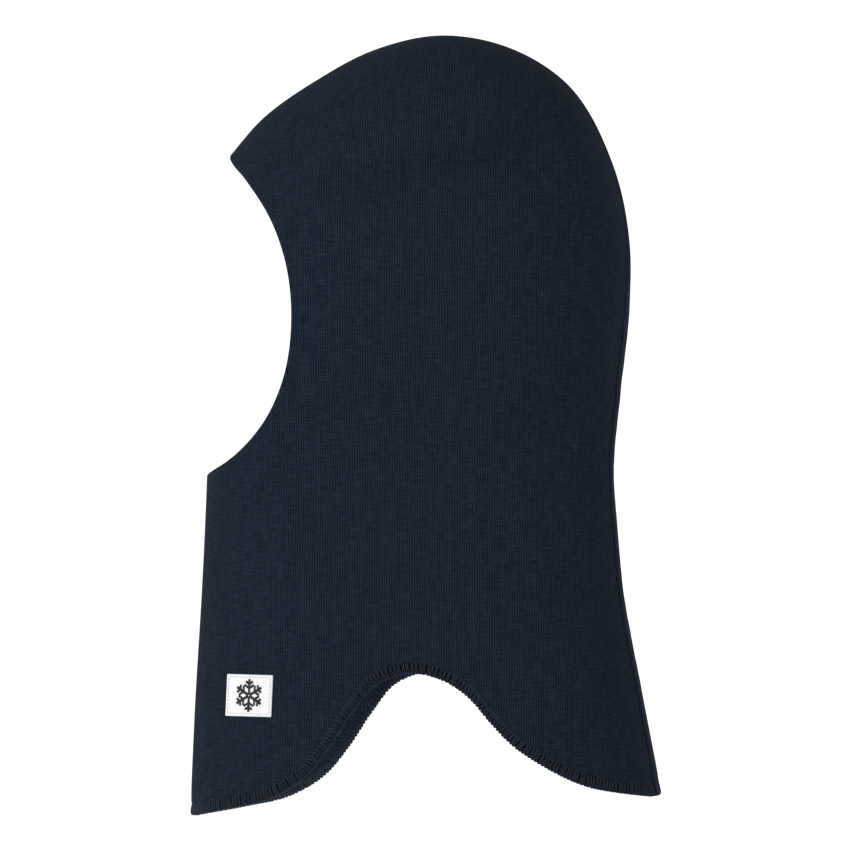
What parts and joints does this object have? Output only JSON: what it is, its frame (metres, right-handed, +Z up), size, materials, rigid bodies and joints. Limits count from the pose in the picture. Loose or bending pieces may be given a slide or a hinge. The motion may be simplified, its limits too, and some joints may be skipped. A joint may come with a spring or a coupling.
{
  "type": "balaclava",
  "caption": "Child's knitted balaclava with an oval face opening, a lined hood and neck, and front and back bibs with arched, overlocked shoulder cut-outs.",
  "frame": {"origin": "middle of the wearer's head, level with the ears, where the head mount holds the balaclava", "axes": "+Z up, the face opening looks along -Y, +X is the wearer's left"},
  "size_m": [0.1446, 0.2193, 0.3605],
  "materials": {
    "outer_knit": "matte fine rib knit, navy wool",
    "lining_knit": "matte fine knit, navy",
    "sewing_thread": "matte spun polyester thread",
    "overlock_thread": "soft textured overlock thread",
    "woven_patch": null,
    "patch_thread": "light grey thread",
    "care_label": "blank white satin tape"
  },
  "bodies": {
    "root": {"outer_left_panel": "outer_knit", "outer_right_panel": "outer_knit", "lining_left_panel": "lining_knit", "lining_right_panel": "lining_knit", "outer_back_seam_thread": "sewing_thread", "outer_chin_seam_thread": "sewing_thread", "lining_back_seam_thread": "sewing_thread", "lining_chin_seam_thread": "sewing_thread", "face_seam_thread": "sewing_thread", "hem_looper_thread": "overlock_thread", "hem_needle_thread": "sewing_thread", "brand_patch": "woven_patch", "patch_stitching": "patch_thread", "care_label": "care_label"}
  },
  "joints": []
}
